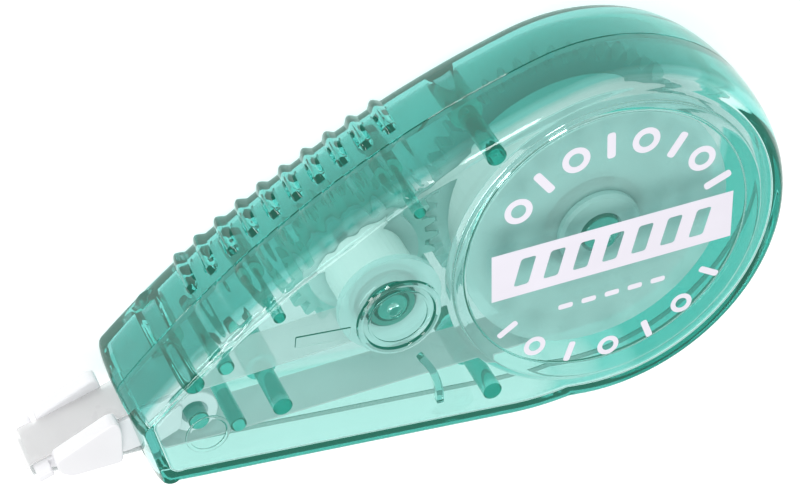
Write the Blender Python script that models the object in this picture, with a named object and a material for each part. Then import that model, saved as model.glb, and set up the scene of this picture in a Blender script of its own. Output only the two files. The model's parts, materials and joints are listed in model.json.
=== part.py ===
"""Correction tape roller: two translucent half shells, an applicator tip, two geared reels and the tape.

It lies on its back face. +X runs along the straight bottom edge towards the round end, +Y towards the
ribbed edge, +Z out of the front face. The origin is on the supply reel's axis, at the back face.
"""
import math

import bmesh
import bpy
import numpy as np

MM = 0.001

# ---- driving dimensions, in millimetres ------------------------------------------------------------
THICKNESS = 14.0            # back face to front face, without the raised disc
PARTING_Z = 7.5             # where the two half shells meet
PARTING_GAP = 0.3
WALL = 1.2
DISC_RISE = 0.6             # how far the round disc stands above the front face
DISC_RADIUS = 15.8
DISC_FOOT_RADIUS = 16.5
DISC_POCKET_RADIUS = 14.6   # the pocket behind the disc

ROUND_CENTRE = (0.5, -0.8)
ROUND_RADIUS = 19.4
TOP_TANGENT_DEG = 21.6      # where the ribbed edge leaves the round end
TOP_RADIUS = 89.3
BOTTOM_Y = -20.9
BOTTOM_BEND_X = -7.5        # where the bottom edge starts to rise to the round end
BOTTOM_BEND_RADIUS = 27.0
MOUTH_POINT = (-45.6, -12.5)
MOUTH_LEAN_DEG = 19.0       # the nose leans back towards the bottom edge
NOSE_FILLET = 1.6
HEEL_FILLET = 2.1           # where the mouth meets the bottom edge
BARREL = 1.9                # how far the side wall draws in from the parting line to a face
MOUTH_BARREL = 0.7          # the same, round the mouth

RIB_COUNT = 10
RIB_PITCH = 2.59
RIB_HEIGHT = 0.55
RIB_START_DEG = 45.9        # slope of the ribbed edge at the rib nearest the nose
RIB_STEPS = 5               # outline points to a rib

TAPE_WIDTH = 5.0
TAPE_THICKNESS = 0.15
TAPE_Z0 = PARTING_Z - TAPE_WIDTH / 2
TAPE_Z1 = PARTING_Z + TAPE_WIDTH / 2
GAP = 0.3                   # between pieces that touch

GEAR_MODULE = 0.55
SUPPLY_TEETH = 50
TAKE_UP_TEETH = 27
PRESSURE_ANGLE_DEG = 20.0
BACKLASH = 0.14
GEAR_Z0 = 1.9
GEAR_Z1 = 3.5
CENTRE_DISTANCE = GEAR_MODULE * (SUPPLY_TEETH + TAKE_UP_TEETH) / 2
TAKE_UP_BEARING_DEG = 192.3
TAKE_UP_AXIS = (
    CENTRE_DISTANCE * math.cos(math.radians(TAKE_UP_BEARING_DEG)),
    CENTRE_DISTANCE * math.sin(math.radians(TAKE_UP_BEARING_DEG)),
)

SUPPLY_AXLE_RADIUS = 1.9
SUPPLY_SLEEVE_RADIUS = 2.9
SUPPLY_CORE_RADIUS = 5.2
SUPPLY_FLANGE_RADIUS = 13.6
FLANGE_THICKNESS = 0.6
SUPPLY_ROLL_RADIUS = 12.6
REEL_TOP = 10.9
HUB_CAP_RADIUS = 4.2
HUB_CAP_TOP = 12.0

TAKE_UP_AXLE_RADIUS = 1.5
TAKE_UP_SLEEVE_RADIUS = 2.3
TAKE_UP_CORE_RADIUS = 3.3
TAKE_UP_FLANGE_RADIUS = 5.1
TAKE_UP_ROLL_RADIUS = 4.0
TAKE_UP_FLANGE_TOP = 11.4

SOCKETS = ((-12.4, 11.5), (-40.0, -8.7), (-31.2, -13.3), (-9.6, -16.5))
SOCKET_RADIUS = 1.6
SMALL_SOCKETS = ((-19.4, 6.6), (-32.2, -2.6))
SMALL_SOCKET_RADIUS = 1.2
SOCKET_TOP = 6.8
PIN_RADIUS = 0.75
SMALL_PIN_RADIUS = 0.5
PIN_END = 4.4
GUIDES = ((-34.6, -16.4), (-36.2, -9.2))
GUIDE_RADIUS = 0.8
TIP_POST = (-38.7, -14.6)
TIP_POST_RADIUS = 1.0
TIP_EYE_RADIUS = 2.3

SUPPLY_AXLE_TOP = 12.2
TAKE_UP_AXLE_TOP = 12.0
TIP_POST_TOP = 11.2
GUIDE_TOP = 10.8
AXLE_BORE_Z = 9.6           # bottom of the bore in each axle, which takes a pin of the front cover
AXLE_PIN_END = 10.2

BEARING_RING_RADIUS = 4.1   # the ring moulded on the front face, over the take-up axle
BEARING_RING_BORE = 3.2
BEARING_RING_RISE = 0.35
BEARING_DISH = 0.25
BAR_X = (-30.8, -25.4)      # the small bar moulded on the front face
BAR_Y = (-5.85, -4.6)
BAR_RISE = 0.3
STIFFENER_CENTRE = (-24.6, -17.2)
STIFFENER_RADIUS = 9.6
STIFFENER_HALF_WIDTH = 0.35
STIFFENER_DEPTH = 0.8       # how far it stands below the front cover's inner face

FRICTION_RING_RADIUS = 4.9
TAKE_UP_BACK_FLANGE_RADIUS = 5.6
TAKE_UP_FLANGE_THICKNESS = 0.8

TIP_WIDTH = 5.2             # the blade, between its side flanges
TIP_BAR_WIDTH = 8.2
BLADE_OUTLINE = (
    (-53.2, -17.45), (-45.2, -14.1), (-42.5, -13.3), (-40.0, -13.2), (-40.0, -16.0),
    (-42.5, -17.4), (-45.0, -18.05), (-51.2, -18.3), (-52.9, -18.1),
)
TIP_BAR_OUTLINE = ((-53.95, -17.75), (-52.7, -17.2), (-52.4, -17.85), (-53.75, -18.4))
TIP_FLANGE_OUTLINE = (
    (-52.4, -16.3), (-47.1, -13.15), (-46.4, -13.4), (-46.1, -14.4), (-45.9, -17.9),
    (-50.7, -18.45), (-51.8, -17.8),
)
MOUTH_OUTLINE = ((-50.0, -18.95), (-41.0, -18.95), (-41.0, -11.5), (-44.6, -13.2), (-50.0, -13.2))
MOUTH_CLEARANCE = 0.4
TAPE_UNDER_TIP = ((-44.8, -18.42), (-51.1, -18.72), (-52.9, -18.72), (-54.0, -18.7))
FILM_OVER_TIP = ((-54.35, -18.45), (-54.35, -17.75), (-54.1, -17.4), (-53.6, -17.2), (-45.3, -13.72))
ROUND_SEGMENTS = 40


# ---- materials -------------------------------------------------------------------------------------
def material(name, colour, roughness, metallic=0.0):
    made = bpy.data.materials.new(name)
    made.use_nodes = True
    shader = made.node_tree.nodes["Principled BSDF"]
    shader.inputs["Base Color"].default_value = (*colour, 1.0)
    shader.inputs["Roughness"].default_value = roughness
    shader.inputs["Metallic"].default_value = metallic
    made.diffuse_color = (*colour, 1.0)
    return made


def clear_teal():
    return material("clear_teal", (0.12, 0.55, 0.42), 0.12)


def white_plastic():
    return material("white_plastic", (0.82, 0.82, 0.84), 0.4)


def pale_plastic():
    return material("pale_plastic", (0.62, 0.78, 0.72), 0.35)


def tape_white():
    return material("tape_white", (0.86, 0.87, 0.86), 0.6)


def carrier_film():
    return material("carrier_film", (0.70, 0.78, 0.75), 0.3)


def dark_rubber():
    return material("dark_rubber", (0.05, 0.06, 0.06), 0.7)


# ---- outlines --------------------------------------------------------------------------------------
def unit(degrees):
    """The unit vector at an angle from +X."""
    return np.array([math.cos(math.radians(degrees)), math.sin(math.radians(degrees))])


def arc(centre, radius, start_deg, end_deg, steps):
    """Points and outward normals along an arc, both ends included."""
    angles = np.linspace(start_deg, end_deg, steps + 1)
    return [(np.array(centre) + radius * unit(a), unit(a)) for a in angles]


def line_meets_circle(point, direction, centre, radius):
    """Where a line leaves a circle, going along its direction."""
    offset = np.array(point) - np.array(centre)
    along = offset @ direction
    return np.array(point) + (math.sqrt(along**2 - offset @ offset + radius**2) - along) * direction


def rib_bump(slope_deg):
    """Height of the grip ribs, from 0 to 1, at a place on the ribbed edge."""
    pitch_deg = math.degrees(RIB_PITCH / TOP_RADIUS)
    place = (RIB_START_DEG - slope_deg) / pitch_deg
    nearest = round(place)
    if nearest < 0 or nearest > RIB_COUNT - 1:
        return 0.0
    away = abs(place - nearest) / 0.28
    return math.cos(math.pi / 2 * away) if away < 1 else 0.0


def case_outline(inset, nose_barrel):
    """The case's outline at the parting line, drawn in by inset: (point, normal, barrel, rib) rows."""
    out_x = unit(180 + MOUTH_LEAN_DEG)
    mouth_down = np.array([-out_x[1], out_x[0]])
    fillet = max(NOSE_FILLET - inset, 0.5)
    heel_fillet = max(HEEL_FILLET - inset, 0.9)
    top_start = 90 + TOP_TANGENT_DEG
    round_centre = np.array(ROUND_CENTRE)
    top_centre = round_centre - (TOP_RADIUS - ROUND_RADIUS) * unit(top_start)
    bend_centre = np.array([BOTTOM_BEND_X, BOTTOM_Y + BOTTOM_BEND_RADIUS])

    apart = round_centre - bend_centre
    span = math.hypot(*apart)
    bend_radius = BOTTOM_BEND_RADIUS - inset
    round_radius = ROUND_RADIUS - inset
    cosine = (bend_radius**2 + span**2 - round_radius**2) / (2 * bend_radius * span)
    bearing = math.degrees(math.atan2(apart[1], apart[0]))
    bend_end = bearing - math.degrees(math.acos(cosine))
    kink = bend_centre + bend_radius * unit(bend_end)
    kink_round = math.degrees(math.atan2(*(kink - round_centre)[::-1]))

    inner_mouth = np.array(MOUTH_POINT) - (inset + fillet) * out_x
    corner_top = line_meets_circle(inner_mouth, -mouth_down, top_centre, TOP_RADIUS - inset - fillet)
    top_end = math.degrees(math.atan2(*(corner_top - top_centre)[::-1]))
    inner_heel = np.array(MOUTH_POINT) - (inset + heel_fillet) * out_x
    corner_low_y = BOTTOM_Y + inset + heel_fillet
    corner_low = inner_heel + (corner_low_y - inner_heel[1]) / mouth_down[1] * mouth_down
    mouth_deg = 180 + MOUTH_LEAN_DEG

    rows = []
    for point, normal in arc(round_centre, round_radius, kink_round + 3, top_start, ROUND_SEGMENTS)[:-1]:
        rows.append((point, normal, BARREL, 0.0))
    rib_deg = math.degrees(RIB_PITCH / TOP_RADIUS)
    first = 90 + RIB_START_DEG - (RIB_COUNT - 0.5) * rib_deg
    last = 90 + RIB_START_DEG + 0.5 * rib_deg
    plain = list(np.linspace(top_start, first, 7)[:-1])
    ribbed = list(np.linspace(first, last, RIB_COUNT * RIB_STEPS + 1))
    nose = list(np.linspace(last, top_end, 4)[1:-1])
    for angle in plain + ribbed + nose:
        toward_nose = (angle - top_start) / (top_end - top_start)
        barrel = BARREL + (nose_barrel - BARREL) * max(0.0, toward_nose * 2 - 1)
        point = top_centre + (TOP_RADIUS - inset) * unit(angle)
        rows.append((point, unit(angle), barrel, rib_bump(angle - 90)))
    corner_steps = 4
    for i, (point, normal) in enumerate(arc(corner_top, fillet, top_end, mouth_deg, corner_steps)):
        barrel = nose_barrel + (MOUTH_BARREL - nose_barrel) * i / corner_steps
        rows.append((point, normal, barrel, 0.0))
    for i, (point, normal) in enumerate(arc(corner_low, heel_fillet, mouth_deg, 270, corner_steps)):
        barrel = MOUTH_BARREL + (BARREL - MOUTH_BARREL) * i / corner_steps
        rows.append((point, normal, barrel, 0.0))
    for x in np.linspace(corner_low[0], BOTTOM_BEND_X, 5)[1:]:
        rows.append((np.array([x, BOTTOM_Y + inset]), unit(270), BARREL, 0.0))
    for point, normal in arc(bend_centre, bend_radius, 270, bend_end + 360, 3)[1:]:
        rows.append((point, normal, BARREL, 0.0))
    return rows


def barrel_ring(rows, level, z, rib_height=0.0):
    """The outline at a level between the parting line (0) and a face (1), where the wall draws in."""
    draw_in = 1 - math.sqrt(max(0.0, 1 - level**2))
    ring = []
    for point, normal, barrel, rib in rows:
        x, y = point - (barrel * draw_in - rib_height * rib) * normal
        ring.append((x, y, z))
    return ring


def gear_outline(teeth, first_tooth_deg):
    """The outline of an involute spur gear, counterclockwise."""
    pitch_radius = GEAR_MODULE * teeth / 2
    base_radius = pitch_radius * math.cos(math.radians(PRESSURE_ANGLE_DEG))
    tip_radius = pitch_radius + 0.95 * GEAR_MODULE
    root_radius = pitch_radius - 1.2 * GEAR_MODULE

    def involute(radius):
        angle = math.acos(min(1.0, base_radius / radius))
        return math.tan(angle) - angle

    half_tooth = math.pi / (2 * teeth) - BACKLASH / (4 * pitch_radius) + involute(pitch_radius)
    radii = [root_radius, max(base_radius, root_radius + 0.01), pitch_radius, tip_radius]
    flank = [(radius, half_tooth - involute(max(radius, base_radius))) for radius in radii]
    points = []
    for tooth in range(teeth):
        middle = math.radians(first_tooth_deg) + tooth * 2 * math.pi / teeth
        for radius, half in flank:
            points.append((radius * math.cos(middle - half), radius * math.sin(middle - half)))
        for radius, half in reversed(flank):
            points.append((radius * math.cos(middle + half), radius * math.sin(middle + half)))
    return points


def tangent_bearing(start, start_radius, end, end_radius, side=-1):
    """Bearing of the points where a taut tape leaves one round and meets the next.

    Side is -1 for a tape under the first round and 1 for a tape over it. A tape that crosses to the
    other side of the second round has a negative end_radius, and meets it half a turn on.
    """
    apart = np.array(end) - np.array(start)
    bearing = math.degrees(math.atan2(apart[1], apart[0]))
    swing = math.degrees(math.acos((start_radius - end_radius) / math.hypot(*apart)))
    return bearing + side * swing


# ---- solids ----------------------------------------------------------------------------------------
def add_ring_stack(mesh, rings):
    """Join rings of equal count into one closed body, with a flat cap at each end."""
    loops = [[mesh.verts.new(np.array(p) * MM) for p in ring] for ring in rings]
    count = len(loops[0])
    for low, high in zip(loops, loops[1:]):
        for i in range(count):
            after = (i + 1) % count
            mesh.faces.new((low[i], low[after], high[after], high[i]))
    mesh.faces.new(list(reversed(loops[0])))
    mesh.faces.new(loops[-1])


def add_prism(mesh, outline, z0, z1):
    add_ring_stack(mesh, [[(x, y, z0) for x, y in outline], [(x, y, z1) for x, y in outline]])


def circle(centre, radius, segments=ROUND_SEGMENTS):
    turns = np.arange(segments) * 360 / segments
    return [tuple(np.array(centre) + radius * unit(turn)) for turn in turns]


def add_pin(mesh, centre, radius, z0, z1, segments=20):
    add_prism(mesh, circle(centre, radius, segments), z0, z1)


def add_turned_ring(mesh, profile, segments=ROUND_SEGMENTS):
    """A ring turned about Z from a closed (radius, z) profile that stays off the axis."""
    turns = []
    for i in range(segments):
        x, y = unit(i * 360 / segments)
        turns.append([mesh.verts.new((r * x * MM, r * y * MM, z * MM)) for r, z in profile])
    count = len(profile)
    for i in range(segments):
        here, there = turns[i], turns[(i + 1) % segments]
        for j in range(count):
            after = (j + 1) % count
            mesh.faces.new((here[j], there[j], there[after], here[after]))


def tube_profile(inner, outer, z0, z1):
    return [(inner, z0), (outer, z0), (outer, z1), (inner, z1)]


def add_strip(mesh, path):
    """A tape standing on edge along a path of (x, y) points."""
    points = np.array(path)
    ahead = np.gradient(points, axis=0)
    ahead /= np.linalg.norm(ahead, axis=1)[:, None]
    side = np.stack([-ahead[:, 1], ahead[:, 0]], axis=1) * TAPE_THICKNESS / 2
    outline = [tuple(p) for p in points + side] + [tuple(p) for p in (points - side)[::-1]]
    add_prism(mesh, outline, TAPE_Z0, TAPE_Z1)


def new_object(name, mesh_builder, finish=None, axis=(0.0, 0.0)):
    """One sub-part. Its origin is on its own axis, at the back face, so it turns in place."""
    bmesh.ops.recalc_face_normals(mesh_builder, faces=mesh_builder.faces)
    mesh = bpy.data.meshes.new(name)
    mesh_builder.to_mesh(mesh)
    mesh_builder.free()
    mesh.shade_smooth()
    mesh.set_sharp_from_angle(angle=math.radians(35))
    made = bpy.data.objects.new(name, mesh)
    bpy.context.scene.collection.objects.link(made)
    made.location = (axis[0] * MM, axis[1] * MM, 0.0)
    if finish is not None:
        mesh.materials.append(finish)
    return made


def boolean(target, tool_builder, operation):
    """Join a hidden tool to a sub-part, or cut it away."""
    tool = new_object(f"tool_{operation.lower()}_{target.name}", tool_builder)
    tool.location = target.location
    tool.hide_render = True
    tool.display_type = "WIRE"
    step = target.modifiers.new(operation.title(), "BOOLEAN")
    step.operation = operation
    step.solver = "EXACT"
    step.object = tool


# ---- the case --------------------------------------------------------------------------------------
def half_shell(rim_z, face_z, rib_height, nose_barrel):
    """One half of the case: a thin barrel-sided tray whose rim is at the parting line."""
    rows = case_outline(0.0, nose_barrel)
    inner_rows = case_outline(WALL, nose_barrel)
    way = 1 if face_z > rim_z else -1
    depth = abs(face_z - rim_z)
    ceiling = 1 - WALL / depth
    mesh = bmesh.new()
    rings = []
    for level in (ceiling, 0.6 * ceiling, 0.0):
        rings.append(barrel_ring(inner_rows, level, rim_z + way * level * depth))
    for level in (0.0, 0.45, 0.7, 0.88, 0.97, 1.0):
        rings.append(barrel_ring(rows, level, rim_z + way * level * depth, rib_height(level)))
    add_ring_stack(mesh, rings)
    return mesh


def back_rib_height(level):
    """The ribs stay high right across the back half."""
    return RIB_HEIGHT * (1 - level**6)


def front_rib_height(level):
    """On the front half the ribs run out to points at the face."""
    return RIB_HEIGHT * (1 - level) ** 0.7


def mouth_cutter(mesh):
    """The opening in the nose that the tip and the tape come out of."""
    half = TIP_WIDTH / 2 + MOUTH_CLEARANCE
    add_prism(mesh, MOUTH_OUTLINE, PARTING_Z - half, PARTING_Z + half)


def back_cover():
    cover = new_object(
        "back_cover",
        half_shell(PARTING_Z - PARTING_GAP / 2, 0.0, back_rib_height, BARREL),
        clear_teal(),
    )
    posts = bmesh.new()
    foot = 0.5 * WALL
    add_pin(posts, (0, 0), SUPPLY_AXLE_RADIUS, foot, SUPPLY_AXLE_TOP, 32)
    add_pin(posts, TAKE_UP_AXIS, TAKE_UP_AXLE_RADIUS, foot, TAKE_UP_AXLE_TOP, 28)
    add_pin(posts, TIP_POST, TIP_POST_RADIUS, foot, TIP_POST_TOP)
    for place in SOCKETS:
        add_pin(posts, place, SOCKET_RADIUS, foot, SOCKET_TOP, 24)
    for place in SMALL_SOCKETS:
        add_pin(posts, place, SMALL_SOCKET_RADIUS, foot, SOCKET_TOP)
    for place in GUIDES:
        add_pin(posts, place, GUIDE_RADIUS, foot, GUIDE_TOP)
    boolean(cover, posts, "UNION")
    cuts = bmesh.new()
    add_pin(cuts, (0, 0), PIN_RADIUS + GAP, AXLE_BORE_Z, THICKNESS - WALL)
    add_pin(cuts, TAKE_UP_AXIS, PIN_RADIUS + GAP - 0.1, AXLE_BORE_Z, THICKNESS - WALL)
    for place in SOCKETS:
        add_pin(cuts, place, PIN_RADIUS + GAP, PIN_END - 2 * GAP, SOCKET_TOP + 1)
    for place in SMALL_SOCKETS:
        add_pin(cuts, place, SMALL_PIN_RADIUS + GAP, PIN_END - 2 * GAP, SOCKET_TOP + 1)
    mouth_cutter(cuts)
    boolean(cover, cuts, "DIFFERENCE")


def front_cover():
    cover = new_object(
        "front_cover",
        half_shell(PARTING_Z + PARTING_GAP / 2, THICKNESS, front_rib_height, MOUTH_BARREL),
        clear_teal(),
    )
    adds = bmesh.new()
    inside = THICKNESS - 0.5 * WALL
    lower = circle((0, 0), DISC_FOOT_RADIUS, 64)
    upper = circle((0, 0), DISC_RADIUS, 64)
    top = THICKNESS + DISC_RISE
    add_ring_stack(
        adds,
        [
            [(x, y, inside) for x, y in lower],
            [(x, y, THICKNESS + 0.05) for x, y in lower],
            [(x, y, top - 0.1) for x, y in circle((0, 0), DISC_RADIUS + 0.1, 64)],
            [(x, y, top) for x, y in circle((0, 0), DISC_RADIUS - 0.1, 64)],
        ],
    )
    add_prism(adds, circle(TAKE_UP_AXIS, BEARING_RING_RADIUS), inside, THICKNESS + BEARING_RING_RISE)
    bar = [(BAR_X[0], BAR_Y[0]), (BAR_X[1], BAR_Y[0]), (BAR_X[1], BAR_Y[1]), (BAR_X[0], BAR_Y[1])]
    add_prism(adds, bar, inside, THICKNESS + BAR_RISE)
    boolean(cover, adds, "UNION")
    pocket = bmesh.new()
    add_pin(pocket, (0, 0), DISC_POCKET_RADIUS, THICKNESS - WALL - 1, top - WALL, 64)
    add_prism(pocket, circle(TAKE_UP_AXIS, BEARING_RING_BORE), THICKNESS - BEARING_DISH, THICKNESS + 1)
    mouth_cutter(pocket)
    boolean(cover, pocket, "DIFFERENCE")
    pins = bmesh.new()
    add_pin(pins, (0, 0), PIN_RADIUS, AXLE_PIN_END, top - 0.5 * WALL)
    add_pin(pins, TAKE_UP_AXIS, PIN_RADIUS - 0.1, AXLE_PIN_END, inside)
    for place in SOCKETS:
        add_pin(pins, place, PIN_RADIUS, PIN_END, inside)
    for place in SMALL_SOCKETS:
        add_pin(pins, place, SMALL_PIN_RADIUS, PIN_END, inside, 14)
    stiffener = arc(STIFFENER_CENTRE, STIFFENER_RADIUS, 43, 3, 8)
    outer = [tuple(point + STIFFENER_HALF_WIDTH * normal) for point, normal in stiffener]
    inner = [tuple(point - STIFFENER_HALF_WIDTH * normal) for point, normal in reversed(stiffener)]
    add_prism(pins, outer + inner, THICKNESS - WALL - STIFFENER_DEPTH, inside)
    boolean(cover, pins, "UNION")


# ---- the tip ---------------------------------------------------------------------------------------
def applicator_tip():
    half = TIP_WIDTH / 2
    bar_half = TIP_BAR_WIDTH / 2
    blade = bmesh.new()
    add_prism(blade, BLADE_OUTLINE, PARTING_Z - half, PARTING_Z + half)
    tip = new_object("applicator_tip", blade, white_plastic())
    extras = bmesh.new()
    add_prism(extras, TIP_BAR_OUTLINE, PARTING_Z - bar_half, PARTING_Z + bar_half)
    add_prism(extras, TIP_FLANGE_OUTLINE, PARTING_Z - bar_half, PARTING_Z - half + 0.1)
    add_prism(extras, TIP_FLANGE_OUTLINE, PARTING_Z + half - 0.1, PARTING_Z + bar_half)
    add_pin(extras, TIP_POST, TIP_EYE_RADIUS, PARTING_Z - half + GAP, PARTING_Z + half - GAP, 32)
    boolean(tip, extras, "UNION")
    bore = bmesh.new()
    add_pin(bore, TIP_POST, TIP_POST_RADIUS + GAP, 0.0, THICKNESS)
    boolean(tip, bore, "DIFFERENCE")


# ---- the supply reel -------------------------------------------------------------------------------
def geared_sleeve(name, teeth, first_tooth_deg, axis, bore, sleeve_radius, sleeve_top):
    """A spur gear with the sleeve that its reel sits on."""
    disc = bmesh.new()
    add_prism(disc, gear_outline(teeth, first_tooth_deg), GEAR_Z0, GEAR_Z1)
    gear = new_object(name, disc, pale_plastic(), axis)
    sleeve = bmesh.new()
    add_pin(sleeve, (0, 0), sleeve_radius, GEAR_Z0 + 0.4, sleeve_top, 36)
    boolean(gear, sleeve, "UNION")
    hole = bmesh.new()
    add_pin(hole, (0, 0), bore, 0.0, THICKNESS, 32)
    boolean(gear, hole, "DIFFERENCE")


def supply_gear():
    bore = SUPPLY_AXLE_RADIUS + GAP
    geared_sleeve(
        "supply_gear", SUPPLY_TEETH, TAKE_UP_BEARING_DEG, (0, 0), bore, SUPPLY_SLEEVE_RADIUS, REEL_TOP
    )


def friction_ring():
    ring = bmesh.new()
    inner = SUPPLY_SLEEVE_RADIUS + GAP
    add_turned_ring(ring, tube_profile(inner, FRICTION_RING_RADIUS, GEAR_Z1 + GAP, TAPE_Z0 - GAP))
    new_object("friction_ring", ring, dark_rubber())


def supply_reel():
    inner = SUPPLY_SLEEVE_RADIUS + GAP
    flange_z = REEL_TOP - FLANGE_THICKNESS
    profile = [
        (inner, TAPE_Z0),
        (SUPPLY_CORE_RADIUS, TAPE_Z0),
        (SUPPLY_CORE_RADIUS, flange_z),
        (SUPPLY_FLANGE_RADIUS, flange_z),
        (SUPPLY_FLANGE_RADIUS, REEL_TOP),
        (inner, REEL_TOP),
    ]
    reel = bmesh.new()
    add_turned_ring(reel, profile, 72)
    new_object("supply_reel", reel, pale_plastic())


def hub_cap():
    bore = SUPPLY_AXLE_RADIUS + GAP
    cap = bmesh.new()
    profile = [
        (bore, REEL_TOP + GAP),
        (HUB_CAP_RADIUS, REEL_TOP + GAP),
        (HUB_CAP_RADIUS, HUB_CAP_TOP - 0.3),
        (HUB_CAP_RADIUS - 0.3, HUB_CAP_TOP),
        (bore, HUB_CAP_TOP),
    ]
    add_turned_ring(cap, profile)
    new_object("hub_cap", cap, pale_plastic())


def correction_tape_roll():
    roll = bmesh.new()
    profile = tube_profile(SUPPLY_CORE_RADIUS + GAP, SUPPLY_ROLL_RADIUS, TAPE_Z0, TAPE_Z1)
    add_turned_ring(roll, profile, 72)
    new_object("correction_tape_roll", roll, tape_white())


# ---- the take-up reel ------------------------------------------------------------------------------
def take_up_gear():
    half_pitch_deg = 180 / TAKE_UP_TEETH
    geared_sleeve(
        "take_up_gear",
        TAKE_UP_TEETH,
        TAKE_UP_BEARING_DEG + 180 + half_pitch_deg,
        TAKE_UP_AXIS,
        TAKE_UP_AXLE_RADIUS + GAP,
        TAKE_UP_SLEEVE_RADIUS,
        TAKE_UP_FLANGE_TOP + GAP,
    )


def take_up_spool():
    inner = TAKE_UP_SLEEVE_RADIUS + GAP
    back_z = GEAR_Z1 + GAP
    back_top = back_z + TAKE_UP_FLANGE_THICKNESS
    front_z = TAKE_UP_FLANGE_TOP - TAKE_UP_FLANGE_THICKNESS
    profile = [
        (inner, back_z),
        (TAKE_UP_BACK_FLANGE_RADIUS, back_z),
        (TAKE_UP_BACK_FLANGE_RADIUS, back_top),
        (TAKE_UP_CORE_RADIUS, back_top),
        (TAKE_UP_CORE_RADIUS, front_z),
        (TAKE_UP_FLANGE_RADIUS, front_z),
        (TAKE_UP_FLANGE_RADIUS, TAKE_UP_FLANGE_TOP),
        (inner, TAKE_UP_FLANGE_TOP),
    ]
    spool = bmesh.new()
    add_turned_ring(spool, profile)
    new_object("take_up_spool", spool, pale_plastic(), TAKE_UP_AXIS)


def used_film_roll():
    roll = bmesh.new()
    add_turned_ring(roll, tube_profile(TAKE_UP_CORE_RADIUS + GAP, TAKE_UP_ROLL_RADIUS, TAPE_Z0, TAPE_Z1))
    new_object("used_film_roll", roll, carrier_film(), TAKE_UP_AXIS)


# ---- the tape between the reels --------------------------------------------------------------------
def clear_of(radius):
    """Middle line of a tape that runs round something of this radius."""
    return radius + GAP + TAPE_THICKNESS / 2


def coated_tape_run():
    """From the supply roll, under the lower guide post, along the underside of the tip to its edge."""
    roll = clear_of(SUPPLY_ROLL_RADIUS)
    post = clear_of(GUIDE_RADIUS)
    guide = GUIDES[0]
    leave = tangent_bearing(guide, post, (0, 0), roll)
    into = tangent_bearing(TAPE_UNDER_TIP[0], 0.0, guide, post)
    path = [point for point, _ in arc((0, 0), roll, leave + 40, leave, 8)]
    path += [point for point, _ in arc(guide, post, leave, into, 4)]
    path += [np.array(p) for p in TAPE_UNDER_TIP]
    strip = bmesh.new()
    add_strip(strip, path)
    new_object("coated_tape_run", strip, tape_white())


def carrier_film_run():
    """From the tip's edge, back over its top and its eye, and onto the low side of the take-up reel."""
    roll = clear_of(TAKE_UP_ROLL_RADIUS)
    eye = clear_of(TIP_EYE_RADIUS)
    into = tangent_bearing(FILM_OVER_TIP[-1], 0.0, TIP_POST, eye, side=1)
    leave = tangent_bearing(TIP_POST, eye, TAKE_UP_AXIS, -roll, side=1)
    path = [np.array(p) for p in FILM_OVER_TIP]
    path += [point for point, _ in arc(TIP_POST, eye, into, leave, 3)]
    path += [point for point, _ in arc(TAKE_UP_AXIS, roll, leave - 180, leave - 110, 8)]
    strip = bmesh.new()
    add_strip(strip, path)
    new_object("carrier_film_run", strip, carrier_film())


def main():
    for leftover in list(bpy.data.objects):
        bpy.data.objects.remove(leftover)
    back_cover()
    front_cover()
    applicator_tip()
    supply_gear()
    friction_ring()
    supply_reel()
    hub_cap()
    correction_tape_roll()
    take_up_gear()
    take_up_spool()
    used_film_roll()
    coated_tape_run()
    carrier_film_run()


main()
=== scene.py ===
"""Correction tape roller: the finished look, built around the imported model. Lengths are in millimetres
where a value is named, and turned to metres as a point or size is used."""
import json
import math

import bmesh
import bpy
import numpy as np
from mathutils import Matrix, Vector


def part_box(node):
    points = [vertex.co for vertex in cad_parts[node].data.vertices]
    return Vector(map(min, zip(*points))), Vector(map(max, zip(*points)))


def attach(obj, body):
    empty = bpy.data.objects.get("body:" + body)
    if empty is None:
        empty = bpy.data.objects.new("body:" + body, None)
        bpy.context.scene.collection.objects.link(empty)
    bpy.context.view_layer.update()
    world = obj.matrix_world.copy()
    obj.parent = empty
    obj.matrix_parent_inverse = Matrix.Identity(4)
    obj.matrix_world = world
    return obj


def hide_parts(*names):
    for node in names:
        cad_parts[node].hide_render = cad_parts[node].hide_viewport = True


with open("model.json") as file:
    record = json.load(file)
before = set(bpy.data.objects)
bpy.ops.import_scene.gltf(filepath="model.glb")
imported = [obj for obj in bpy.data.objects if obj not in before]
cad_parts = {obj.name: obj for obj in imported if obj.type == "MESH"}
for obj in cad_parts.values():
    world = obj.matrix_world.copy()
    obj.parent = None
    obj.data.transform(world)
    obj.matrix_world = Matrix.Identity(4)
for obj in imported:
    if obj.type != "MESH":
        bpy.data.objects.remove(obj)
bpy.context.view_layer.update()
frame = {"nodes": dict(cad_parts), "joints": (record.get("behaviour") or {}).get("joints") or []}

MM = 0.001

# ---- the case's driving dimensions -----------------------------------------------------------------
THICKNESS = 14.0
PARTING_Z = 7.5
PARTING_GAP = 0.08
WALL = 1.2
DISC_RISE = 0.58
DISC_RADIUS = 15.8
DISC_FOOT_RADIUS = 16.5
DISC_POCKET_RADIUS = 14.6
ROUND_CENTRE = (0.5, -0.8)
ROUND_RADIUS = 19.4
TOP_TANGENT_DEG = 21.6
TOP_RADIUS = 89.3
BOTTOM_Y = -20.9
BOTTOM_BEND_X = -7.5
BOTTOM_BEND_RADIUS = 27.0
MOUTH_POINT = (-45.6, -12.5)
MOUTH_LEAN_DEG = 19.0
NOSE_FILLET = 1.6
HEEL_FILLET = 2.1
BARREL = 1.9
MOUTH_BARREL = 0.7
RIB_COUNT = 10
RIB_PITCH = 2.59
RIB_START_DEG = 45.9
RIB_HALF_WIDTH = 0.3        # of the pitch
FRONT_RIB_HEIGHT = 0.36
BACK_RIB_HEIGHT = 0.75
RIB_BAND = 1.2              # the plain band along the back half's rim, below which its ribs start
RIM_CHAMFER = 0.04
SHELL_STEPS = 22            # rings from the rim to a face
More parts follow.
